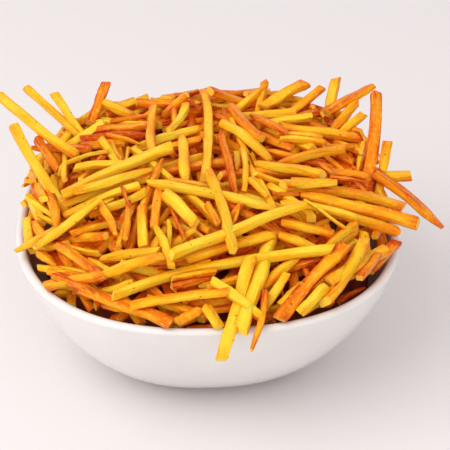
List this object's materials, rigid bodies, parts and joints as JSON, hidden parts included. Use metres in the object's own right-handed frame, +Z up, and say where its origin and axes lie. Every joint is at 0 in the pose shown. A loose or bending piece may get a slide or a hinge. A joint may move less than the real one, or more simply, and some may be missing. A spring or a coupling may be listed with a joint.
{
  "type": "tapioca chips in a bowl",
  "caption": "Heap of thin fried cassava sticks in a rounded-square white porcelain bowl with a flat foot.",
  "frame": {"origin": "middle of the bowl's flat foot, on the table", "axes": "+Z up; -Y towards the side where the heap slopes down to the lip; +X to the right of that side"},
  "size_m": [0.1656, 0.1521, 0.0834],
  "materials": {
    "glazed_porcelain": "gloss white glaze",
    "fried_cassava": "crisp, slightly oily, golden to orange-brown"
  },
  "bodies": {
    "root": {"bowl": "glazed_porcelain", "heap": "fried_cassava"}
  },
  "joints": []
}
